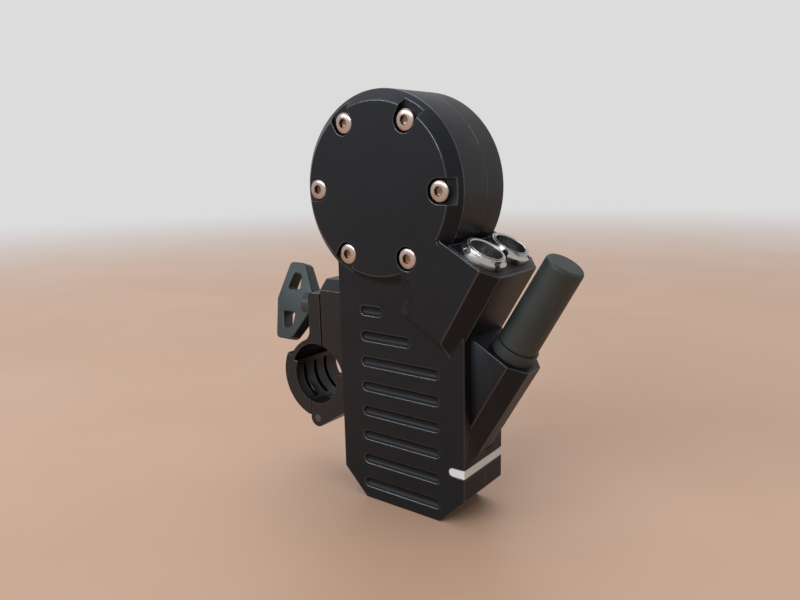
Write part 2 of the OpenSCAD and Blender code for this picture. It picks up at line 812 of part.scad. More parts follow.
module board_components() {
  color("black") {
    component(0.29, 0.25, 0.32, 0.25, 1);
    component(0.68, 0.58, 0.21, 0.14, 0.9);
    component(0.18, 0.63, 0.18, 0.19, 1.5);
    component(0.7, 0.16, 0.18, 0.14, 2.5);
    component(0.4, 0.81, 0.28, 0.11, 3);
    for (u = [0.22, 0.32, 0.42]) component(u, 0.11, 0.056, 0.025, 0.8);
  }
}

module board_screws() {
  color("silver") board_spots() translate([0, board_y + main_board_t, 0])
    rotate([-90, 0, 0])
      button_screw(2 * board_screw_r, board_screw_len, 3.4 * board_screw_r, 1.1, 1.2);
}

module encoder_board() {
  color("darkgreen") at_head(motor_front + 0.8)
    tube(board_t, motor_bay_r - bay_step - 0.3, small_bearing_d / 2 + 1.6);
}

// ---- motor ----
module stator_tooth_places() {
  for (i = [0 : stator_teeth - 1]) rotate([0, 0, i * 360 / stator_teeth]) children();
}

stator_h = plate_front - stator_y;
coil_h = stator_h - 2.6;

module motor_stator() {
  color("gray") at_head(stator_y) {
    tube(stator_h, motor_bay_r - fit, motor_bay_r - 1.5);
    translate([0, 0, 1.3]) difference() {
      union() {
        stator_tooth_places() translate([rotor_r + 0.9, -1.1, 0])
          cube([motor_bay_r - rotor_r - 1.7, 2.2, coil_h]);
        difference() {
          tube(coil_h, rotor_r + 1.1, rotor_r + 0.3);
          stator_tooth_places() rotate([0, 0, 180 / stator_teeth])
            translate([0, -0.6, -1]) cube([20, 1.2, coil_h + 2]);
        }
      }
    }
  }
}

module motor_windings() {
  x0 = rotor_r + 1.3;
  color("peru") at_head(stator_y) stator_tooth_places()
    translate([x0, 0, 0]) difference() {
      translate([0, -2.3, 0.55]) cube([motor_bay_r - 1.7 - x0, 4.6, coil_h + 1.5]);
      translate([-1, -1.15, 1.25]) cube([10, 2.3, coil_h + 0.1]);
    }
}

module motor_plate() {
  color("silver") difference() {
    union() {
      ycyl(plate_front, seam_back, plate_r - fit);
      ycyl(plate_front - 1.3, plate_front + 0.1, small_bearing_d / 2 + 1.2);
    }
    ycyl(plate_front - 2, plate_front - 1.1 + small_bearing_w, small_bearing_d / 2 + fit);
    ycyl(plate_front, seam_back + 1, 2.2);
  }
}

module bearing(w, r, bore) {
  difference() {
    tube(w, r, bore);
    for (z = [-0.15, w - 0.15])
      translate([0, 0, z]) tube(0.3, r - 0.5, bore + 0.5);
  }
}

module motor_bearings() {
  color("silver") for (y = [front_hub_y - small_bearing_w, plate_front - 1.1])
    at_head(y) bearing(small_bearing_w, small_bearing_d / 2, shaft_r);
}

rotor_y0 = front_hub_y + 0.4;
rotor_y1 = plate_front - 1.7;

module motor_rotor() {
  color("dimgray") at_head(rotor_y0) tube(rotor_y1 - rotor_y0, rotor_r - 0.3, shaft_r);
}

module motor_shaft() {
  color("silver") ycyl(front_hub_y - small_bearing_w + 0.1, planet_front + planet_w, shaft_r - 0.03);
}

// ---- gears ----
// point on an involute from base radius b, rolled through t degrees
function involute(b, t) =
  [b * (cos(t) + t * pi / 180 * sin(t)), b * (sin(t) - t * pi / 180 * cos(t))];
function turned(p, a) = [p[0] * cos(a) - p[1] * sin(a), p[0] * sin(a) + p[1] * cos(a)];
function roll(b, r) = sqrt(max(0, pow(r / b, 2) - 1)) * 180 / pi;
function inv(a) = tan(a) * 180 / pi - a;

// outline of one toothed wheel: play is taken off each tooth's width
function gear_points(m, z, add, ded, play) =
  let (r = m * z / 2, b = r * cos(pressure), ro = r + add, ri = r - ded,
       half = 90 / z - play / 2 / r * 180 / pi + inv(pressure),
       start = roll(b, ri), end = roll(b, ro), n = 4)
  [for (k = [0 : z - 1]) let (c = k * 360 / z) each concat(
     ri < b ? [[ri * cos(c - half), ri * sin(c - half)]] : [],
     [for (i = [0 : n]) turned(involute(b, start + (end - start) * i / n), c - half)],
     [for (i = [n : -1 : 0]) let (p = involute(b, start + (end - start) * i / n))
       turned([p[0], -p[1]], c + half)],
     ri < b ? [[ri * cos(c + half), ri * sin(c + half)]] : [])];

module wheel(z, w, phase = 0) {
  rotate([0, 0, phase]) linear_extrude(height = w)
    polygon(gear_points(gear_module, z, 0.8 * gear_module, gear_module, backlash / 2));
}

function planet_angle(i) = 90 + i * 360 / planet_count;

module sun_gear() {
  color("gold") at_head(planet_front) difference() {
    wheel(sun_teeth, planet_w, planet_angle(0));
    translate([0, 0, -1]) cylinder(h = planet_w + 2, r = shaft_r);
  }
}

module ring_gear() {
  color("gold") at_head(seam_back) difference() {
    cylinder(h = ring_back - seam_back, r = motor_bay_r - fit);
    translate([0, 0, -1]) rotate([0, 0, planet_angle(0) + 180 / ring_teeth])
      linear_extrude(height = 10)
        polygon(gear_points(gear_module, ring_teeth, gear_module, 0.8 * gear_module,
                            -backlash / 2));
  }
}

module planet(i) {
  a = planet_angle(i);
  color("gold") at_head(planet_front) rotate([0, 0, a]) translate([orbit, 0, 0])
    difference() {
      wheel(planet_teeth, planet_w, 180 / planet_teeth);
      translate([0, 0, -1]) cylinder(h = planet_w + 2, r = planet_pin_d / 2 + fit);
    }
}

module planet_gear_1() { planet(0); }
module planet_gear_2() { planet(1); }
module planet_gear_3() { planet(2); }

module planet_carrier() {
  color("silver") difference() {
    union() {
      ycyl(carrier_front, carrier_back, carrier_r);
      ycyl(carrier_back - 0.1, bearing_front - fit, output_r + 0.7);
      ycyl(carrier_back - 0.1, drive_y0 + drive_web, output_r - 0.03);
      for (i = [0 : planet_count - 1]) {
        a = planet_angle(i);
        ycyl(planet_front, carrier_front + 0.1, planet_pin_d / 2,
             [head_x + orbit * cos(a), head_z - orbit * sin(a)]);
      }
    }
    ycyl(carrier_front - 1, carrier_back + 0.5, 2.2);
    ycyl(drive_y0 - 3, drive_y0 + drive_web + 1, 1.55);
  }
}

module output_bearing() {
  color("silver") at_head(bearing_front)
    bearing(output_bearing_w, output_bearing_d / 2, output_r);
}

module drive_gear() {
  rim = drive_pr - 1.25 * drive_module - 1.8;
  color("silver") at_head(drive_y0) difference() {
    linear_extrude(height = drive_w)
      polygon(gear_points(drive_module, drive_teeth, drive_module, 1.25 * drive_module, 0.1));
    translate([0, 0, drive_web]) cylinder(h = drive_w, r = rim);
    translate([0, 0, -1]) cylinder(h = drive_w, r = output_r);
    for (a = [0 : 60 : 300]) rotate([0, 0, a])
      translate([(rim + output_r) / 2 + 0.6, 0, -1]) cylinder(h = drive_w, r = 1.7);
  }
}

module gear_washer() {
  color("silver") at_head(drive_y0 + drive_web) tube(0.6, output_r + 1.6, 1.6);
}

module gear_screw() {
  color("silver") at_head(drive_y0 + drive_web + 0.6) button_screw(2.9, 5, 5.7, 1.65);
}

// ---- rod clamp ----
module block_outline() {
  polygon([[-half_w, hinge[1] + 3.9], [-half_w, split_z], [block_x, split_z],
           [block_x, rod_z], [leaf_x, rod_z], [leaf_x, hinge[1] + 0.4],
           [hinge[0] - 1, hinge[1]], [hinge[0] + 1.43, hinge[1] - 2.05]]);
  translate(hinge) circle(r = knuckle_r);
}

module rod_space(y0, y1) {
  ycyl(y0, y1, rod_r, rod);
  intersection() {
    ycyl(y0, y1, relief_r, relief);
    translate([-60, y0, ledge_z]) cube([60, y1 - y0, 60]);
  }
}

module clamp_block() {
  color("dimgray") difference() {
    intersection() {
      along_y(-clamp_y, clamp_y) block_outline();
      translate([-60, 0, 0]) rotate([90, 0, 90]) linear_extrude(height = 60)
        polygon([[-clamp_y, 0], [clamp_y, 0], [clamp_y, split_z - block_cut],
                 [clamp_y - block_cut, split_z], [block_cut - clamp_y, split_z],
                 [-clamp_y, split_z - block_cut]]);
    }
    rod_space(-20, 20);
    // slot for the jaw's lug
    translate([leaf_x - 5, -slot_w / 2, hinge[1] - 5])
      cube([hinge[0] + 0.3 - leaf_x + 5, slot_w, 15]);
    ycyl(-slot_w / 2, slot_w / 2, hinge_clear, hinge);
    ycyl(-20, 20, hinge_d / 2, hinge);
    // mouth and thread for the clamp screw
    xcyl(block_x - 1, block_x + 2.5, clamp_screw_r + 0.95, 0, knob_z);
    xcyl(block_x, block_x + 6, clamp_screw_r + 0.05, 0, knob_z);
    for (z = block_screw_z)
      xcyl(-half_w - 6.2, 0, 1.5, block_screw_y, z);
  }
}

module clamp_block_screws() {
  color("silver") for (z = block_screw_z)
    translate([side_wall - half_w, block_screw_y, z]) rotate([0, 90, 0])
      button_screw(2.9, side_wall + 6, 5.5, 1.6);
}

module hinge_pin() {
  color("silver") ycyl(0.1 - clamp_y, clamp_y - 0.1, hinge_d / 2, hinge);
}

// the jaw's arc below, the thinner arm above it, and the flange with its fillet
module jaw_outline() {
  arm_r = relief_r + 1.4;
  fil = 3.5;
  cz = relief[1] + sqrt(pow(arm_r + fil, 2) - pow(relief[0] - flange_x0 + fil, 2));
  tip = [rod[0] + jaw_r * cos(jaw_top_angle), rod_z + jaw_r * sin(jaw_top_angle)];
  difference() {
    union() {
      intersection() {
        translate(rod) circle(r = jaw_r);
        polygon([rod, tip + [-6, 3.2], [-60, rod_z], [-60, 0], [leaf_x - jaw_split, 0],
                 [leaf_x - jaw_split, rod_z - 2]]);
      }
      intersection() {
        translate(relief) circle(r = arm_r);
        polygon([rod, [flange_x1, rod_z], [flange_x1, flange_z], [-60, flange_z],
                 tip + [-20, 10.6]]);
      }
      difference() {
        polygon([[flange_x1, rod_z + 5], [flange_x1, flange_z], [flange_x0 + 1.3, flange_z],
                 [flange_x0, flange_z - 1.3], [flange_x0, cz],
                 [flange_x0 - fil, cz], [flange_x0 - fil, rod_z + 7], [relief[0], rod_z + 7]]);
        translate([flange_x0 - fil, cz]) circle(r = fil);
        difference() {
          translate([flange_x0 - fil - 1, rod_z]) square([fil + 1, cz - rod_z]);
          polygon([relief, [flange_x0 - fil, cz], [flange_x0 - fil, 60], [0, 60], [0, rod_z]]);
        }
      }
      translate([flange_x0 + 1.3, flange_z - 1.3]) circle(r = 1.3);
    }
    translate(rod) circle(r = rod_r);
    intersection() {
      translate(relief) circle(r = relief_r);
      translate([-60, ledge_z + 1.5]) square([60, 60]);
    }
  }
}

module lug_outline() {
  difference() {
    union() {
      intersection() {
        translate(rod) circle(r = jaw_r);
        translate([leaf_x - 3, 0]) square([hinge[0] - leaf_x + 3, rod_z - 2]);
      }
      translate(hinge) circle(r = knuckle_r);
    }
    translate(rod) circle(r = rod_r);
  }
}

module swing_jaw() {
  color("dimgray") difference() {
    union() {
      difference() {
        along_y(-clamp_y, clamp_y) jaw_outline();
        for (s = [-1, 1])
          translate([0, s * (clamp_y + lug_w / 2) / 2, 0])
            ycyl(-(clamp_y - lug_w / 2) / 2 - 0.01, (clamp_y - lug_w / 2) / 2 + 0.01,
                 hinge_clear, hinge);
      }
      along_y(-lug_w / 2, lug_w / 2) lug_outline();
    }
    // grooves that leave the ribs of the cradle
    for (i = [0 : rib_count - 1]) {
      y = (i - (rib_count - 1) / 2) * rib_pitch - 0.7;
      intersection() {
        ycyl(y - 0.6, y + 0.6, rod_r + 0.8, rod);
        translate([-60, -20, rod_z - 20]) cube([60 + leaf_x - 1, 40, 22]);
      }
    }
    ycyl(-20, 20, hinge_d / 2 + fit, hinge);
    xcyl(flange_x0 - 1, flange_x1 + 1, clamp_screw_r + 0.3, 0, knob_z);
  }
}

module clamp_screw() {
  color("silver") {
    xcyl(hub_x0 + 1, block_x + 1.7, clamp_screw_r, 0, knob_z);
  }
}

module knob_washer() {
  color("silver") translate([knob_x1, 0, knob_z]) rotate([0, 90, 0])
    tube(washer_t, knob_hub_r + 0.2, clamp_screw_r);
}

// convex outline whose corners are rounded, each by its own radius
function toward(p, q) = (q - p) / norm(q - p);
function half_angle(a, p, b) = acos(toward(p, a) * toward(p, b)) / 2;

module rounded(points, radii) {
  n = len(points);
  polygon([for (i = [0 : n - 1]) let (p = points[i], a = points[(i + n - 1) % n],
           b = points[(i + 1) % n], t = radii[i] / tan(half_angle(a, p, b)))
           each [p + t * toward(p, a), p + t * toward(p, b)]]);
  for (i = [0 : n - 1]) if (radii[i] > 0) {
    p = points[i];
    a = toward(p, points[(i + n - 1) % n]);
    b = toward(p, points[(i + 1) % n]);
    translate(p + (a + b) / norm(a + b) * radii[i] / sin(acos(a * b) / 2))
      circle(r = radii[i]);
  }
}

// window in a wing, its corners measured from the wing's tip
module wing_window(s) {
  corners = [[3.4, 3.4], [4.8, 8.2], [7.6, 7.6], [8.1, 3.4]];
  rounded([for (q = corners) [wing_x0 + q[0], s * q[1]]], [0.6, 1, 1, 0.6]);
}

module wing_outline() {
  x1 = wing_x0 + 2.1;
  x2 = wing_x0 + 8.1;
  x3 = hub_x0 + 0.5;
  rounded([[wing_x0, 0], [x1, wing_span], [x2, wing_span], [x3, knob_hub_r],
           [x3, -knob_hub_r], [x2, -wing_span], [x1, -wing_span]],
          [0, wing_round, 1.7 * wing_round, 0, 0, 1.7 * wing_round, wing_round]);
}

module wing_knob() {
  color("slategray") translate([0, 0, knob_z]) rotate([90 - knob_turn, 0, 0]) difference() {
    union() {
      intersection() {
        translate([0, 0, -5]) linear_extrude(height = 10) difference() {
          wing_outline();
          for (s = [-1, 1]) wing_window(s);
        }
        translate([wing_x0 - 1, 0, 0]) rotate([90, 0, 90]) linear_extrude(height = 30)
          polygon([[0, wing_t0 / 2], [wing_span, wing_t1 / 2], [wing_span, -wing_t1 / 2],
                   [0, -wing_t0 / 2], [-wing_span, -wing_t1 / 2], [-wing_span, wing_t1 / 2]]);
      }
      xcyl(hub_x0 - 2, knob_x1, knob_hub_r, 0, 0);
    }
    xcyl(hub_x0 + 1, knob_x1 + 1, clamp_screw_r, 0, 0);
  }
}

front_housing();
rear_housing();
housing_screws();
rear_cover_screws();
light_strip();
socket_panel();
socket_shell_front();
socket_shell_rear();
socket_nut_front();
socket_nut_rear();
socket_insert_front();
socket_insert_rear();
socket_contacts();
antenna_connector();
antenna_collar();
antenna_whip();
main_board();
board_components();
board_screws();
encoder_board();
motor_stator();
motor_windings();
motor_plate();
motor_bearings();
motor_rotor();
motor_shaft();
sun_gear();
ring_gear();
planet_gear_1();
planet_gear_2();
planet_gear_3();
planet_carrier();
output_bearing();
drive_gear();
gear_washer();
gear_screw();
clamp_block();
clamp_block_screws();
hinge_pin();
swing_jaw();
clamp_screw();
knob_washer();
wing_knob();
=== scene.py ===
# %% [markdown]
# # A follow focus drive unit
# The unit clamps on a camera rod and turns a lens ring with its gear. Its solids come
# from the CAD frame, at their true size and place. Blender gives them what a machinist
# and a finisher give the real one: broken edges, anodising, plating, rubber and light.

# %% Load the frame
import math
import bpy
from mathutils import Matrix, Vector


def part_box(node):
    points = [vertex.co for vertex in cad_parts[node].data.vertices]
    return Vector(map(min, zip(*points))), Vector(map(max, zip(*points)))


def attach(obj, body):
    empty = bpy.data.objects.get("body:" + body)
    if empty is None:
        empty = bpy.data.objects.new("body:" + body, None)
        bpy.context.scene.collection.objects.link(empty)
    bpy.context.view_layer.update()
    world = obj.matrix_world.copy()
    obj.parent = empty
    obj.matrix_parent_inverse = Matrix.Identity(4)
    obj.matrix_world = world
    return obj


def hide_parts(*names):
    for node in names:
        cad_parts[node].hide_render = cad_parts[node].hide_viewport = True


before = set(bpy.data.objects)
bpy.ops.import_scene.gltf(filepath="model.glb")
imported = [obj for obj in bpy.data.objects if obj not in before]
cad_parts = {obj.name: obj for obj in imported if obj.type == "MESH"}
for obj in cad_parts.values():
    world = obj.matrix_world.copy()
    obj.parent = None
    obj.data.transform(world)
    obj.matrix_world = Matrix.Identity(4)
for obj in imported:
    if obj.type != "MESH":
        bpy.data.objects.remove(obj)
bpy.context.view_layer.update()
MM = 0.001

# %% [markdown]
# ## Working one piece at a time
# Blender's operators act on whatever is selected, and a fresh import leaves everything
# selected. So each step starts by picking one object, and faces are then picked by
# where they are or which way they point, as a modeller clicks them.


# %% Picking and placing helpers
def pick(obj):
    """Selects this object only and makes it the active one."""
    if bpy.context.object and bpy.context.object.mode != "OBJECT":
        bpy.ops.object.mode_set(mode="OBJECT")
    bpy.ops.object.select_all(action="DESELECT")
    obj.select_set(True)
    bpy.context.view_layer.objects.active = obj


def edit(obj, mode="FACE"):
    """Opens this object for editing with nothing picked."""
    pick(obj)
    bpy.ops.object.mode_set(mode="EDIT")
    bpy.ops.mesh.select_mode(type=mode)
    bpy.ops.mesh.select_all(action="DESELECT")


def pick_faces(obj, test):
    """Picks the faces whose centre and normal pass the test, then stays in edit mode."""
    bpy.ops.object.mode_set(mode="OBJECT")
    for face in obj.data.polygons:
        face.select = bool(test(face.center, face.normal))
    bpy.ops.object.mode_set(mode="EDIT")


def done(obj, smooth=35):
    """Leaves edit mode and shades the piece smooth where its faces meet gently."""
    if obj.mode != "OBJECT":
        bpy.ops.object.mode_set(mode="OBJECT")
    pick(obj)
    bpy.ops.object.shade_smooth_by_angle(angle=math.radians(smooth))


def finish_modifier(obj, kind, **values):
    """Adds a modifier, sets its values and applies it."""
    pick(obj)
    modifier = obj.modifiers.new(kind.title(), kind)
    for key, value in values.items():
        setattr(modifier, key, value)
    bpy.ops.object.modifier_apply(modifier=modifier.name)


# %% [markdown]
# ## Broken edges
# A milled housing never has a knife edge: every outer corner is broken by a tenth or two
# of a millimetre, and that thin flat is what catches the light and tells the eye the
# size. A CAD mesh is loose triangles, so a copy is merged and its flat faces are made
# whole again with a limited dissolve. The bevel then runs along the outer edges only:
# an inner corner is where the cutter turned, and nobody takes a file to it. A bevel by
# angle would take both kinds, so each edge gets a weight of its own first.


# %% Finding the outer edges
def edge_in_box(mesh, edge, box):
    """Whether both ends of an edge lie in a box that is given in mm."""
    low, high = box
    return all(low[axis] <= mesh.vertices[end].co[axis] / MM <= high[axis]
               for end in edge.vertices for axis in range(3))


def weigh_outer_edges(obj, angle, boxes=()):
    """Gives each edge a bevel weight of one where two faces meet outwards and sharply.

    With boxes, in mm, only the edges that lie inside one of them count.
    """
    mesh = obj.data
    sides = {}
    for face in mesh.polygons:
        corners = list(face.vertices)
        for start, end in zip(corners, corners[1:] + corners[:1]):
            sides.setdefault((min(start, end), max(start, end)), []).append((face, start, end))
    weights = (mesh.attributes.get("bevel_weight_edge")
               or mesh.attributes.new("bevel_weight_edge", "FLOAT", "EDGE"))
    limit = math.cos(math.radians(angle))
    count = 0
    for edge in mesh.edges:
        weights.data[edge.index].value = 0.0
        pair = sides.get(tuple(sorted(edge.vertices)), [])
        if len(pair) != 2:
            continue
        if boxes and not any(edge_in_box(mesh, edge, box) for box in boxes):
            continue
        (face, start, end), (other, _, _) = pair
        along = mesh.vertices[end].co - mesh.vertices[start].co
        inward = face.normal.cross(along)
        if face.normal.dot(other.normal) < limit and inward.dot(other.normal) < 0:
            weights.data[edge.index].value = 1.0
            count += 1
    return count


# %% Merged copies with broken edges
MERGE_GAP = 0.002                   # mm, under which two corners are one
FLAT_ANGLE = 0.6                    # degrees, under which two faces are one
CRISP_ANGLE = 32                    # degrees, over which an edge stays crisp
SOFT_EDGE, SOFT_SEGMENTS = 0.9, 4   # mm and steps, where a wheel has blended a corner
BROKEN = 1                          # the second material, on the broken edges


def bevel_weighed(obj, width, segments, **more):
    """Bevels the weighed edges by a width in mm."""
    finish_modifier(obj, "BEVEL", width=width * MM, segments=segments, limit_method="WEIGHT",
                    use_clamp_overlap=False, miter_outer="MITER_ARC", **more)


def machined_copy(node, name, edge, finishes, segments, angle, soft):
    """A merged copy of a CAD node whose outer edges are broken by edge, in mm.

    The first finish covers the faces, and the second the broken edges. The edges in the
    soft boxes are rounded by SOFT_EDGE first.
    """
    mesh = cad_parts[node].data.copy()
    mesh.materials.clear()
    for finish in finishes:
        mesh.materials.append(finish)
    obj = bpy.data.objects.new(name, mesh)
    bpy.context.scene.collection.objects.link(obj)
    edit(obj, "VERT")
    bpy.ops.mesh.select_all(action="SELECT")
    bpy.ops.mesh.remove_doubles(threshold=MERGE_GAP * MM)
    bpy.ops.mesh.dissolve_limited(angle_limit=math.radians(FLAT_ANGLE))
    bpy.ops.object.mode_set(mode="OBJECT")
    if soft:
        rounded = weigh_outer_edges(obj, angle, soft)
        bevel_weighed(obj, SOFT_EDGE, SOFT_SEGMENTS)
        print(f"{name}: {rounded} edges rounded by {SOFT_EDGE} mm")
    sharp = weigh_outer_edges(obj, angle)
    bevel_weighed(obj, edge, segments, material=BROKEN)
    done(obj, CRISP_ANGLE)
    finish_modifier(obj, "WEIGHTED_NORMAL", mode="FACE_AREA", weight=90, keep_sharp=True)
    print(f"{name}: {sharp} outer edges broken by {edge} mm, {len(obj.data.polygons)} faces")
    return obj


# %% [markdown]
# ## Building blocks for the finishes
# Several finishes share the same small effects: a fine grain, slow stains and turned
# rings. Each is a node group with its own inputs, so that one group serves the anodised
# housing and the rubber antenna with different values. The effects could be pictures
# laid over the mesh, but noise that is worked out in space has no seam and no grid.


# %% Node helpers
def link(tree, source, target):
    """Joins an output to an input."""
    tree.links.new(source, target)


def add(tree, kind, **values):
    """Adds a node and sets its plain properties and its input defaults by name."""
    made = tree.nodes.new(kind)
    for key, value in values.items():
        if hasattr(made, key):
            setattr(made, key, value)
        else:
            made.inputs[key.replace("_", " ").title()].default_value = value
    return made


def new_group(name, inputs, outputs):
    """An empty node group with named float or vector inputs and outputs."""
    tree = bpy.data.node_groups.new(name, "ShaderNodeTree")
    for label, value in inputs:
        kind = "NodeSocketVector" if value is None else "NodeSocketFloat"
        made = tree.interface.new_socket(label, in_out="INPUT", socket_type=kind)
        if value is not None:
            made.default_value = value
    for label, kind in outputs:
        tree.interface.new_socket(label, in_out="OUTPUT", socket_type=kind)
    return tree, tree.nodes.new("NodeGroupInput"), tree.nodes.new("NodeGroupOutput")


# %% Blasted grain: the fine, even texture under anodising
def make_grain_group():
    """Fine noise as a mask, and as a bump of Depth metres."""
    tree, given, result = new_group(
        "blasted_grain",
        [("Vector", None), ("Scale", 5000.0), ("Strength", 0.08), ("Depth", 0.03 * MM)],
        [("Mask", "NodeSocketFloat"), ("Normal", "NodeSocketVector")])
    fine = add(tree, "ShaderNodeTexNoise", noise_dimensions="3D", detail=3.0, roughness=0.6)
    link(tree, given.outputs["Vector"], fine.inputs["Vector"])
    link(tree, given.outputs["Scale"], fine.inputs["Scale"])
    bump = add(tree, "ShaderNodeBump")
    link(tree, given.outputs["Strength"], bump.inputs["Strength"])
    link(tree, given.outputs["Depth"], bump.inputs["Distance"])
    link(tree, fine.outputs["Fac"], bump.inputs["Height"])
    link(tree, fine.outputs["Fac"], result.inputs["Mask"])
    link(tree, bump.outputs["Normal"], result.inputs["Normal"])
    return tree


GRAIN = make_grain_group()
print("made the group", GRAIN.name)


# %% Slow stains: large soft differences in a finish, as hands and air leave them
def make_stain_group():
    """Slow noise as a mask whose contrast runs from Low to High."""
    tree, given, result = new_group(
        "slow_stains", [("Vector", None), ("Scale", 60.0), ("Low", 0.3), ("High", 0.7)],
        [("Mask", "NodeSocketFloat")])
    cloud = add(tree, "ShaderNodeTexNoise", noise_dimensions="3D", detail=4.0,
                roughness=0.55, distortion=0.4)
    contrast = add(tree, "ShaderNodeMapRange", interpolation_type="SMOOTHSTEP")
    link(tree, given.outputs["Vector"], cloud.inputs["Vector"])
    link(tree, given.outputs["Scale"], cloud.inputs["Scale"])
    link(tree, cloud.outputs["Fac"], contrast.inputs["Value"])
    link(tree, given.outputs["Low"], contrast.inputs["From Min"])
    link(tree, given.outputs["High"], contrast.inputs["From Max"])
    link(tree, contrast.outputs["Result"], result.inputs["Mask"])
    return tree


STAINS = make_stain_group()
print("made the group", STAINS.name)


# %% Turned rings: the fine grooves that a lathe leaves round an axis
RING_DEPTH = 0.02                   # mm


def make_turned_group():
    """Noise that changes with the distance from the local Z axis, and along it."""
    tree, given, result = new_group(
        "turned_rings", [("Vector", None), ("Scale", 6000.0), ("Strength", 0.1)],
        [("Mask", "NodeSocketFloat"), ("Normal", "NodeSocketVector")])
    split = add(tree, "ShaderNodeSeparateXYZ")
    link(tree, given.outputs["Vector"], split.inputs["Vector"])
    flat = add(tree, "ShaderNodeCombineXYZ")
    link(tree, split.outputs["X"], flat.inputs["X"])
    link(tree, split.outputs["Y"], flat.inputs["Y"])
    radius = add(tree, "ShaderNodeVectorMath", operation="LENGTH")
    link(tree, flat.outputs["Vector"], radius.inputs[0])
    along = add(tree, "ShaderNodeCombineXYZ")
    link(tree, radius.outputs["Value"], along.inputs["X"])
    link(tree, split.outputs["Z"], along.inputs["Y"])
    lines = add(tree, "ShaderNodeTexNoise", noise_dimensions="2D", detail=2.0)
    link(tree, along.outputs["Vector"], lines.inputs["Vector"])
    link(tree, given.outputs["Scale"], lines.inputs["Scale"])
    bump = add(tree, "ShaderNodeBump")
    bump.inputs["Distance"].default_value = RING_DEPTH * MM
    link(tree, given.outputs["Strength"], bump.inputs["Strength"])
    link(tree, lines.outputs["Fac"], bump.inputs["Height"])
    link(tree, lines.outputs["Fac"], result.inputs["Mask"])
    link(tree, bump.outputs["Normal"], result.inputs["Normal"])
    return tree


TURNED = make_turned_group()
print("made the group", TURNED.name)

# %% A material with its texture space and its shader
FACTOR, FIRST, SECOND, RESULT = 0, 6, 7, 2      # the colour sockets of a Mix node


def new_material(name, **values):
    """A material with a Principled shader; values are set on the shader's own sockets."""
    material = bpy.data.materials.new(name)
    material.use_nodes = True
    tree = material.node_tree
    shader = tree.nodes["Principled BSDF"]
    for key, value in values.items():
        shader.inputs[key].default_value = value
    place = add(tree, "ShaderNodeTexCoord")
    return material, tree, shader, place.outputs["Object"]


def use(tree, group, vector, **values):
    """Places a node group in a material, reads it at vector and sets its inputs."""
    made = tree.nodes.new("ShaderNodeGroup")
    made.node_tree = group
    link(tree, vector, made.inputs["Vector"])
    for key, value in values.items():
        made.inputs[key].default_value = value
    return made


def blend_colours(tree, mask, low, high):
    """A colour that runs from low to high with the mask."""
    mix = add(tree, "ShaderNodeMix", data_type="RGBA")
    mix.inputs[FIRST].default_value = (*low, 1)
    mix.inputs[SECOND].default_value = (*high, 1)
    link(tree, mask, mix.inputs[FACTOR])
    return mix.outputs[RESULT]


def spread(tree, mask, low, high):
    """A value that runs from low to high with the mask."""
    ranged = add(tree, "ShaderNodeMapRange")
    ranged.inputs["To Min"].default_value = low
    ranged.inputs["To Max"].default_value = high
    link(tree, mask, ranged.inputs["Value"])
    return ranged.outputs["Result"]


# %% [markdown]
# ## Anodised aluminium
# The housings are milled aluminium, bead blasted and anodised almost black. The oxide
# is a clear, hard skin over a dark dye, so it is not a mirror like bare metal: it shows
# a broad satin sheen. The blasted grain breaks the sheen up, and slow stains keep the
# large faces from looking painted. Where an edge is broken, the skin is worn smooth, so
# the edge finish mirrors more sharply than the faces do.


# %% Anodised finishes
def anodised(name, dark, light, rough, metal=0.0, grain=0.1, ior=1.34):
    """A dyed skin that wanders between two colours and two roughnesses."""
    material, tree, shader, spot = new_material(name, Metallic=metal, IOR=ior)
    stains = use(tree, STAINS, spot, Scale=55.0, Low=0.3, High=0.72)
    fine = use(tree, GRAIN, spot, Scale=5200.0, Strength=grain)
    link(tree, blend_colours(tree, stains.outputs["Mask"], dark, light),
         shader.inputs["Base Color"])
    link(tree, spread(tree, stains.outputs["Mask"], *rough), shader.inputs["Roughness"])
    link(tree, fine.outputs["Normal"], shader.inputs["Normal"])
    return material


HOUSING = anodised("black_anodised", (0.0024, 0.003, 0.0054), (0.004, 0.0048, 0.0076),
                   rough=(0.4, 0.48))
CLAMP = anodised("clamp_anodised", (0.0034, 0.003, 0.0034), (0.0056, 0.005, 0.0056),
                 rough=(0.36, 0.44), ior=1.42)
EDGE = anodised("anodised_edge", (0.004, 0.005, 0.008), (0.008, 0.009, 0.013),
                rough=(0.14, 0.2), grain=0.04, ior=1.68)
KNOB = anodised("grey_anodised", (0.04, 0.047, 0.046), (0.058, 0.066, 0.064),
                rough=(0.3, 0.4), metal=0.4, grain=0.12)
print("anodised finishes:", HOUSING.name, CLAMP.name, EDGE.name, KNOB.name)

# %% [markdown]
# ## Bright and plain metal
# The socket shells and their ring nuts are turned brass, plated dull silver. A lathe
# leaves rings round the axis, and the plating softens them. The screws are plain
# stainless, a little warm, with a painted shade that darkens each face round and
# in its hexagon recess. Bare metal gets its look from what it mirrors, so its colour is
# plain and its roughness does the work.

# %% Turned and plain metal
LEAN = math.radians(30)                         # of the sockets, to the right of upright
SOCKET_ACROSS, SOCKET_ALONG = -14.9, 68.4       # mm, from the base, measured on the lean
SOCKET_Y = {"front": -5.1, "rear": 6.5}         # mm
ROUND_Y = (math.pi / 2, 0, 0)                   # turns local Z to the front


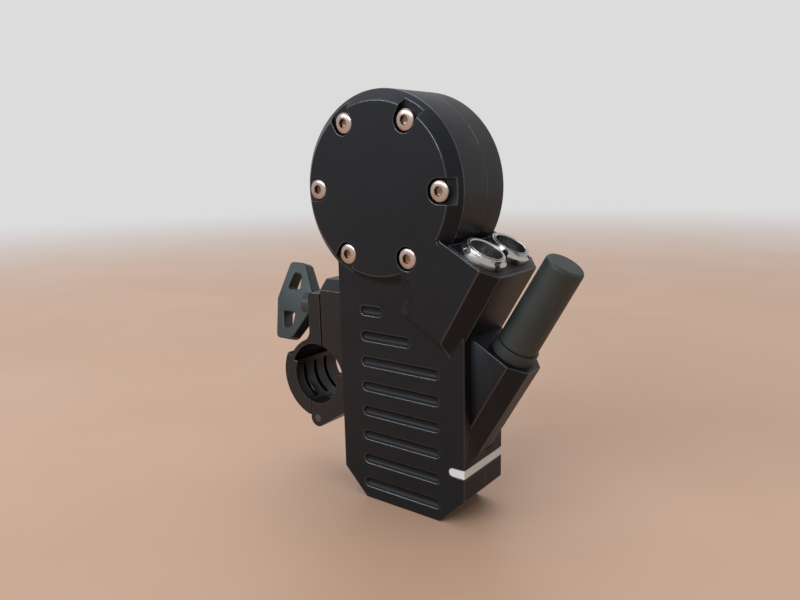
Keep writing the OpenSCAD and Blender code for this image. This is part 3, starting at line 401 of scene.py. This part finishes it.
def turned_metal(name, colour, rough, axis_turn, rings=0.12, offset=(0, 0, 0)):
    """Metal with lathe rings round its own axis; axis_turn lays that axis along local Z."""
    material, tree, shader, spot = new_material(name, Metallic=1.0)
    shader.inputs["Base Color"].default_value = (*colour, 1)
    lay = add(tree, "ShaderNodeMapping", vector_type="TEXTURE")
    lay.inputs["Rotation"].default_value = axis_turn
    lay.inputs["Location"].default_value = offset
    link(tree, spot, lay.inputs["Vector"])
    grooves = use(tree, TURNED, lay.outputs["Vector"], Scale=7000.0, Strength=rings)
    stains = use(tree, STAINS, spot, Scale=320.0, Low=0.35, High=0.7)
    link(tree, spread(tree, stains.outputs["Mask"], *rough), shader.inputs["Roughness"])
    link(tree, grooves.outputs["Normal"], shader.inputs["Normal"])
    return material


def socket_spot(y):
    """A point on a socket's axis, in metres."""
    return (SOCKET_ALONG * math.sin(LEAN) * MM + SOCKET_ACROSS * MM * math.cos(LEAN), y * MM,
            SOCKET_ALONG * math.cos(LEAN) * MM - SOCKET_ACROSS * MM * math.sin(LEAN))


PLATING = {side: turned_metal(f"plated_{side}", (0.47, 0.465, 0.455), (0.2, 0.32),
                              (0, LEAN, 0), rings=0.05, offset=socket_spot(y))
           for side, y in SOCKET_Y.items()}
STEEL = turned_metal("plain_steel", (0.58, 0.56, 0.53), (0.24, 0.38), ROUND_Y)
OXIDE = turned_metal("black_oxide", (0.13, 0.125, 0.12), (0.3, 0.42), ROUND_Y)
print("metal finishes:", [m.name for m in PLATING.values()], STEEL.name, OXIDE.name)

# %% Screw metal: warm stainless, turned round each screw's own axis
PAINTED_SHADE_OUT, PAINTED_SHADE_IN = 1.5, 0.9                  # mm from the axis, where the painted shade round the hexagon starts and where it is full
UNSHADED_STAINLESS, PAINTED_SHADE_STAINLESS = (0.5, 0.4, 0.345), (0.24, 0.15, 0.105)


def screw_metal():
    """Reads the screw's own map, whose centre is the screw's axis, for rings and a painted
    shade round the hexagon.
    """
    material, tree, shader, _ = new_material("warm_screws", Metallic=1.0)
    face = add(tree, "ShaderNodeTexCoord").outputs["UV"]
    away = add(tree, "ShaderNodeVectorMath", operation="LENGTH")
    link(tree, face, away.inputs[0])
    middle = add(tree, "ShaderNodeMapRange", interpolation_type="SMOOTHSTEP")
    middle.inputs["From Min"].default_value = PAINTED_SHADE_OUT * MM
    middle.inputs["From Max"].default_value = PAINTED_SHADE_IN * MM
    link(tree, away.outputs["Value"], middle.inputs["Value"])
    # Painted shade: the face turns from its plain colour to dark brown round and in the
    # hexagon recess.
    colour = blend_colours(tree, middle.outputs["Result"], UNSHADED_STAINLESS, PAINTED_SHADE_STAINLESS)
    link(tree, colour, shader.inputs["Base Color"])
    rings = use(tree, TURNED, face, Scale=5200.0, Strength=0.5)
    link(tree, spread(tree, rings.outputs["Mask"], 0.16, 0.32), shader.inputs["Roughness"])
    link(tree, rings.outputs["Normal"], shader.inputs["Normal"])
    return material


SCREWS = screw_metal()
print("screw finish:", SCREWS.name)

# %% [markdown]
# ## Rubber, plastics and the inside
# The antenna is a moulded rubber sleeve, matt with a faint grey-green cast. The light
# strip is milky plastic that spreads light under its skin. The parts inside are seldom
# seen, and still get finishes of their own: solder mask, enamelled wire, bearing steel.
# One recipe makes them all, because each is a smooth skin with a little grain.


# %% Rubber and plastics
def moulded(name, low, high, rough, grain, scale=2600.0, **values):
    """A smooth skin with a fine grain; values go to the shader's own sockets."""
    material, tree, shader, spot = new_material(name, **values)
    stains = use(tree, STAINS, spot, Scale=90.0, Low=0.35, High=0.7)
    fine = use(tree, GRAIN, spot, Scale=scale, Strength=grain, Depth=0.04 * MM)
    link(tree, blend_colours(tree, stains.outputs["Mask"], low, high),
         shader.inputs["Base Color"])
    link(tree, spread(tree, stains.outputs["Mask"], *rough), shader.inputs["Roughness"])
    link(tree, fine.outputs["Normal"], shader.inputs["Normal"])
    return material


RUBBER = moulded("antenna_rubber", (0.02, 0.025, 0.022), (0.032, 0.038, 0.034),
                 rough=(0.5, 0.62), grain=0.22)
DIFFUSER = moulded("milky_strip", (0.78, 0.79, 0.78), (0.86, 0.86, 0.84),
                   rough=(0.3, 0.4), grain=0.05)
INSULATOR = moulded("dark_insulator", (0.03, 0.027, 0.024), (0.045, 0.04, 0.035),
                    rough=(0.4, 0.5), grain=0.1)
SOCKET_CORE = moulded("socket_core", (0.17, 0.15, 0.13), (0.22, 0.2, 0.175),
                      rough=(0.35, 0.45), grain=0.08)
BOARD = moulded("solder_mask", (0.01, 0.07, 0.03), (0.014, 0.1, 0.045),
                rough=(0.25, 0.4), grain=0.1)
COPPER = moulded("enamelled_wire", (0.4, 0.12, 0.04), (0.55, 0.2, 0.08),
                 rough=(0.25, 0.35), grain=0.3, scale=3000.0, Metallic=0.9)
CONTACT = moulded("gold_contact", (0.75, 0.52, 0.2), (0.85, 0.62, 0.28),
                  rough=(0.2, 0.3), grain=0.05, scale=3000.0, Metallic=1.0)
print("moulded finishes:", [m.name for m in (RUBBER, DIFFUSER, INSULATOR, SOCKET_CORE, BOARD,
                                             COPPER, CONTACT)])

# %% [markdown]
# ## Dressing the carried-over nodes
# The antenna, the socket inserts, the motor, its gears and the boards already have their
# real shape in the CAD frame. They could be copied and bevelled too, but most are closed
# in, so each keeps its solid and only gets its finish.

# %% Finishes for the CAD nodes
FINISHES = (
    (SOCKET_CORE, ("socket_insert_front", "socket_insert_rear")),
    (CONTACT, ("socket_contacts", "antenna_connector")),
    (RUBBER, ("antenna_collar", "antenna_whip")),
    (BOARD, ("main_board", "encoder_board")),
    (INSULATOR, ("board_components",)),
    (COPPER, ("motor_windings",)),
    (OXIDE, ("clamp_block_screws", "hinge_pin")),
    (STEEL, ("motor_stator", "motor_plate", "motor_bearings", "motor_rotor", "motor_shaft",
             "sun_gear", "ring_gear", "planet_gear_1", "planet_gear_2", "planet_gear_3",
             "planet_carrier", "output_bearing", "gear_washer", "gear_screw", "knob_washer",
             "board_screws", "rear_cover_screws")),
)
for finish, nodes in FINISHES:
    for node in nodes:
        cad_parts[node].data.materials.clear()
        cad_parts[node].data.materials.append(finish)
print(sum(len(nodes) for _, nodes in FINISHES), "nodes dressed")

# %% [markdown]
# ## The milled pieces
# The housings, the clamp and the gear are copies with broken edges. The thin new faces
# get the edge finish, because anodising wears and shines there first. The socket boss
# meets the round head in a milled valley, and there the real housing is blended softly,
# so its flank and foot are rounded before the other edges are broken.

# %% Milled pieces with broken edges
BOSS_CORNERS = (((2.9, -12.5, 51), (7.5, -9, 62.6)),        # mm, round the left flank
                ((0, -12.5, 51.5), (4.1, -9, 52.8)),        # its lower corner
                ((3.9, -12.5, 40), (20, -11, 53)))          # the foot


def milled(node, name, edge, material, body, segments=2, angle=30,
           worn=None, soft=()):
    """Replaces a node by its copy with edges broken by edge, in mm."""
    obj = machined_copy(node, name, edge, (material, worn or material), segments, angle, soft)
    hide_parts(node)
    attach(obj, body)


milled("front_housing", "front_shell", 0.2, HOUSING, "chassis", worn=EDGE, soft=BOSS_CORNERS)
milled("rear_housing", "rear_shell", 0.2, HOUSING, "chassis", worn=EDGE)
milled("socket_panel", "socket_cover", 0.1, HOUSING, "chassis", worn=EDGE)
milled("clamp_block", "block", 0.18, CLAMP, "chassis", worn=EDGE)
milled("swing_jaw", "jaw_arm", 0.18, CLAMP, "jaw", worn=EDGE)
milled("drive_gear", "lens_gear", 0.06, HOUSING, "output", segments=1, worn=EDGE)
milled("light_strip", "strip", 0.1, DIFFUSER, "chassis")
milled("wing_knob", "wings", 0.4, KNOB, "knob", segments=3, angle=28)
for side, plating in PLATING.items():
    milled(f"socket_nut_{side}", f"ring_nut_{side}", 0.04, plating, "chassis",
           segments=1)
    milled(f"socket_shell_{side}", f"shell_{side}", 0.05, plating, "chassis",
           segments=1)

# %% [markdown]
# ## The housing screws
# Six stainless button screws hold the two housings together, and they are the brightest
# spots on the black disc. A head could be cut from a sphere, but a turner works it as
# rings: a short round blank, its face stepped in and raised a little each time, and a
# hexagon pressed in the middle. One screw is made at the origin, head up, and copied.

# %% One button screw
HEAD_R, HEAD_RIM, SHANK_R, SHANK_LEN = 2.5, 1.2, 1.4, 14.5          # mm
HEAD_STEPS = ((0.12, 0.1), (0.3, 0.12), (0.45, 0.1), (0.5, 0.05))   # mm in, mm up
HEX_R, HEX_FLOOR, HEX_LEN = 1.15, 0.55, 3.0                         # mm
HEAD_EDGE, HEAD_SHARP = 0.07, 40    # mm, and degrees over which a corner is eased
HEAD_CRISP = 30                     # degrees, over which an edge stays crisp


def round_blank(name, radius, height, sides=64):
    """A cylinder that stands on z = 0, in mm, with its place in its mesh."""
    bpy.ops.object.select_all(action="DESELECT")
    bpy.ops.mesh.primitive_cylinder_add(vertices=sides, radius=radius * MM, depth=height * MM,
                                        location=(0, 0, height / 2 * MM))
    blank = bpy.context.object
    blank.name = name
    bpy.ops.object.transform_apply(location=True, rotation=True, scale=True)
    return blank


def step_in(inset, lift):
    """Insets the picked face and moves it up or down, in mm."""
    bpy.ops.mesh.inset(thickness=inset * MM, depth=0)
    bpy.ops.transform.translate(value=(0, 0, lift * MM))


def make_button_screw():
    """Steps the head, draws the shank out, presses the hexagon and maps the face."""
    screw = round_blank("cap_screws", HEAD_R, HEAD_RIM)
    edit(screw)
    pick_faces(screw, lambda spot, normal: normal.z > 0.9)
    for inset, lift in HEAD_STEPS:
        step_in(inset, lift)
    pick_faces(screw, lambda spot, normal: normal.z < -0.9)
    step_in(HEAD_R - SHANK_R, 0)
    bpy.ops.mesh.extrude_region_move(
        TRANSFORM_OT_translate={"value": (0, 0, -SHANK_LEN * MM)})
    done(screw)
    cutter = round_blank("hexagon", HEX_R, HEX_LEN, sides=6)
    cutter.data.transform(Matrix.Translation((0, 0, HEX_FLOOR * MM)))
    finish_modifier(screw, "BOOLEAN", operation="DIFFERENCE", object=cutter)
    bpy.data.objects.remove(cutter)
    finish_modifier(screw, "BEVEL", width=HEAD_EDGE * MM, segments=2, limit_method="ANGLE",
                    angle_limit=math.radians(HEAD_SHARP))
    done(screw, HEAD_CRISP)
    face_map = screw.data.uv_layers.active or screw.data.uv_layers.new(name="turned")
    for corner in screw.data.loops:
        face_map.data[corner.index].uv = screw.data.vertices[corner.vertex_index].co.xy
    return screw


# %% Six screws on their circle
SCREW_COUNT = 6
HEAD_X, HEAD_Z, SCREW_RING, SEAT_Y = -4.3, 81.9, 18.26, -10.25      # mm
FIRST_TWIST, TWIST_STEP = 11, 37    # degrees, so no two hexagons stand alike


def place_screws():
    """Copies the screw round the head's circle, face to the front, and joins the six."""
    first = make_button_screw()
    screws = [first]
    for _ in range(SCREW_COUNT - 1):
        screw = first.copy()
        screw.data = first.data.copy()
        bpy.context.scene.collection.objects.link(screw)
        screws.append(screw)
    for step, screw in enumerate(screws):
        around = math.radians(360 / SCREW_COUNT * step)
        spot = Vector((HEAD_X + SCREW_RING * math.cos(around), SEAT_Y,
                       HEAD_Z + SCREW_RING * math.sin(around))) * MM
        twist = Matrix.Rotation(math.radians(TWIST_STEP * step + FIRST_TWIST), 4, "Z")
        to_front = Matrix.Rotation(math.pi / 2, 4, "X")
        screw.data.transform(Matrix.Translation(spot) @ to_front @ twist)
    pick(first)
    for screw in screws:
        screw.select_set(True)
    bpy.ops.object.join()
    return first


cap_screws = place_screws()
cap_screws.data.materials.append(SCREWS)
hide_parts("housing_screws")
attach(cap_screws, "chassis")
print("cap screws:", len(cap_screws.data.polygons), "faces")

# %% [markdown]
# ## The clamp screw's thread
# The wing knob pulls the jaw shut with a small threaded screw, seen when the jaw is
# open. A thread is one profile that climbs as it turns. It could be cut tooth by tooth,
# but a single tooth drawn with three points is enough, because the Screw modifier winds
# it along the axis.

# %% A threaded rod in the clamp screw's own box
THREAD_ROOT = 1.62                  # mm, the radius between the teeth
THREAD_TURNS, THREAD_STEPS = 16, 28
THREAD_GAP = 0.001                  # mm, under which two corners are one
THREAD_CRISP = 25                   # degrees, over which an edge stays crisp


def draw_tooth(root, crest, pitch):
    """One tooth's profile, root to crest to root, drawn up the Z axis from a point."""
    bpy.ops.object.select_all(action="DESELECT")
    bpy.ops.mesh.primitive_plane_add(size=MM)
    tooth = bpy.context.object
    tooth.name = "clamp_thread"
    edit(tooth, "VERT")
    bpy.ops.mesh.select_all(action="SELECT")
    bpy.ops.mesh.merge(type="CENTER")
    bpy.ops.transform.translate(value=(root, 0, 0))
    for out in (1, -1):
        bpy.ops.mesh.extrude_region_move(
            TRANSFORM_OT_translate={"value": (out * (crest - root), 0, pitch / 2)})
    bpy.ops.object.mode_set(mode="OBJECT")
    return tooth


def make_clamp_screw():
    """Winds the tooth along the screw, closes both ends and lays it in its box."""
    low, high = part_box("clamp_screw")
    pitch = (high[0] - low[0]) / THREAD_TURNS
    crest = (high[1] - low[1]) / 2
    thread = draw_tooth(THREAD_ROOT * MM, crest, pitch)
    finish_modifier(thread, "SCREW", axis="Z", angle=2 * math.pi, screw_offset=pitch,
                    iterations=THREAD_TURNS - 1, steps=THREAD_STEPS, render_steps=THREAD_STEPS,
                    use_merge_vertices=True, merge_threshold=THREAD_GAP * MM)
    edit(thread, "VERT")
    bpy.ops.mesh.select_all(action="SELECT")
    bpy.ops.mesh.remove_doubles(threshold=THREAD_GAP * MM)
    bpy.ops.mesh.select_all(action="DESELECT")
    bpy.ops.mesh.select_non_manifold()
    bpy.ops.mesh.fill()
    bpy.ops.mesh.select_all(action="SELECT")
    bpy.ops.mesh.normals_make_consistent(inside=False)
    done(thread, THREAD_CRISP)
    middle = [(a + b) / 2 for a, b in zip(low, high)]
    thread.data.transform(Matrix.Translation((low[0], middle[1], middle[2])) @
                          Matrix.Rotation(math.pi / 2, 4, "Y"))
    return thread


thread = make_clamp_screw()
thread.data.materials.append(STEEL)
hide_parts("clamp_screw")
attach(thread, "knob")
print("thread:", [round(c / MM, 2) for c in (*thread.bound_box[0], *thread.bound_box[6])])

# %% [markdown]
# ## The camera
# The view is the photograph's: from the front and the right, a little above, and so
# close that the near side looks larger. The place and the three turns could be set by
# eye, but they come from fitting the object's known circles and edges, so that the
# shapes fall where the photograph has them.

# %% Camera at the photograph's place
CAMERA_SPOT = (0.10126, -0.14257, 0.0897)       # m
YAW, PITCH, ROLL = (math.radians(a) for a in (36.99, 11.60, 1.194))
LENS, SENSOR = 31.52, 36                        # mm
NEAR = 0.01                                     # m, nearer things aren't drawn


def place_camera():
    """Turns the camera left by yaw, down by pitch, and rolls it about its own view."""
    ahead = Vector((-math.sin(YAW) * math.cos(PITCH), math.cos(YAW) * math.cos(PITCH),
                    -math.sin(PITCH)))
    level_right = Vector((math.cos(YAW), math.sin(YAW), 0))
    level_down = ahead.cross(level_right)
    right = level_right * math.cos(ROLL) + level_down * math.sin(ROLL)
    down = level_down * math.cos(ROLL) - level_right * math.sin(ROLL)
    turn = Matrix((right, -down, -ahead)).transposed().to_4x4()
    data = bpy.data.cameras.new("camera")
    data.lens = LENS
    data.sensor_width = SENSOR
    data.clip_start = NEAR
    camera = bpy.data.objects.new("camera", data)
    camera.matrix_world = Matrix.Translation(CAMERA_SPOT) @ turn
    bpy.context.scene.collection.objects.link(camera)
    bpy.context.scene.camera = camera


place_camera()
print("camera at", CAMERA_SPOT, "with a lens of", LENS, "mm")

# %% [markdown]
# ## Floor and backdrop
# The unit stands on a warm pale floor before a pale backdrop. A curved paper sweep could
# join the two, but a flat floor that fades into the backdrop's colour does the same with
# nothing behind the object. The fade and the backdrop are there for what is seen, also
# in metal and through glass, while the light itself comes from a dimmer glow.

# %% The backdrop's colour and the rays that see it
PALE = (0.715, 0.715, 0.72, 1)


def seen_directly(tree):
    """One for rays from the camera and off gloss or through glass, and zero for light."""
    path = add(tree, "ShaderNodeLightPath")
    reach = path.outputs["Is Camera Ray"]
    for ray in ("Is Glossy Ray", "Is Transmission Ray"):
        either = add(tree, "ShaderNodeMath", operation="MAXIMUM")
        link(tree, reach, either.inputs[0])
        link(tree, path.outputs[ray], either.inputs[1])
        reach = either.outputs["Value"]
    return reach


# %% The floor
FLOOR_SIZE, FLOOR_DROP = 6, 0.00002             # m
FADE_START, FADE_END = 0.3, 1.1                 # m from the object
FLOOR_LIGHT, FLOOR_DARK = (0.8, 0.495, 0.335), (0.76, 0.455, 0.295)


def sweep_material():
    """A warm pale floor near the object that turns into the pale backdrop further out."""
    material, tree, shader, spot = new_material("pale_floor", Roughness=0.45)
    soft = use(tree, STAINS, spot, Scale=9.0)
    link(tree, blend_colours(tree, soft.outputs["Mask"], FLOOR_LIGHT, FLOOR_DARK),
         shader.inputs["Base Color"])
    away = add(tree, "ShaderNodeVectorMath", operation="LENGTH")
    link(tree, spot, away.inputs[0])
    fade = add(tree, "ShaderNodeMapRange", interpolation_type="SMOOTHSTEP")
    fade.inputs["From Min"].default_value = FADE_START
    fade.inputs["From Max"].default_value = FADE_END
    link(tree, away.outputs["Value"], fade.inputs["Value"])
    share = add(tree, "ShaderNodeMath", operation="MULTIPLY")
    link(tree, fade.outputs["Result"], share.inputs[0])
    link(tree, seen_directly(tree), share.inputs[1])
    far = add(tree, "ShaderNodeEmission")
    far.inputs["Color"].default_value = PALE
    mix = add(tree, "ShaderNodeMixShader")
    link(tree, share.outputs["Value"], mix.inputs[0])
    link(tree, shader.outputs[0], mix.inputs[1])
    link(tree, far.outputs[0], mix.inputs[2])
    link(tree, mix.outputs[0], tree.nodes["Material Output"].inputs["Surface"])
    return material


bpy.ops.object.select_all(action="DESELECT")
bpy.ops.mesh.primitive_plane_add(size=FLOOR_SIZE, location=(0, 0, -FLOOR_DROP))
floor = bpy.context.object
floor.name = "floor"
floor.data.materials.append(sweep_material())
print("floor:", FLOOR_SIZE, "m, fading from", FADE_START, "to", FADE_END, "m")

# %% [markdown]
# ## Light
# Black anodising shows little but what it mirrors, so the lamps are placed for their
# reflections. One broad cool lamp overhead lights the tops and the floor. A long, low
# window in front lies where the broken edges, the grooves and the ring nuts look, and
# draws them as thin bright lines. More small lamps could do that, but would leave spots.


# %% The lamps
def area_lamp(name, spot, aim, size, power, colour):
    """A rectangular lamp at spot that faces aim; sizes in metres, power in watts."""
    data = bpy.data.lights.new(name, "AREA")
    data.shape = "RECTANGLE"
    data.size, data.size_y = size
    data.energy = power
    data.color = colour
    lamp = bpy.data.objects.new(name, data)
    ahead = (Vector(aim) - Vector(spot)).normalized()
    lamp.matrix_world = (Matrix.Translation(spot) @
                         ahead.to_track_quat("-Z", "Y").to_matrix().to_4x4())
    bpy.context.scene.collection.objects.link(lamp)
    print("lamp:", name, power, "W")


area_lamp("overhead", (-0.15, 0.1, 1.0), (0, 0, 0), (0.9, 0.9), 3.6, (0.78, 0.88, 1))
area_lamp("window", (-0.3, -1.15, 0.64), (0, 0, 0.06), (1.5, 0.16), 10.0, (0.8, 0.9, 1))

# %% The world: a dim even glow that looks pale where it is seen
GLOW = (0.33, 0.335, 0.34, 1)


def make_world():
    """Mixes the glow and the backdrop by the kind of ray."""
    world = bpy.data.worlds.new("studio")
    world.use_nodes = True
    tree = world.node_tree
    glow = tree.nodes["Background"]
    glow.inputs["Color"].default_value = GLOW
    pale = add(tree, "ShaderNodeBackground")
    pale.inputs["Color"].default_value = PALE
    mix = add(tree, "ShaderNodeMixShader")
    link(tree, seen_directly(tree), mix.inputs[0])
    link(tree, glow.outputs[0], mix.inputs[1])
    link(tree, pale.outputs[0], mix.inputs[2])
    link(tree, mix.outputs[0], tree.nodes["World Output"].inputs["Surface"])
    bpy.context.scene.world = world


make_world()
bpy.context.scene.view_settings.view_transform = "Standard"
print("world:", bpy.context.scene.world.name)
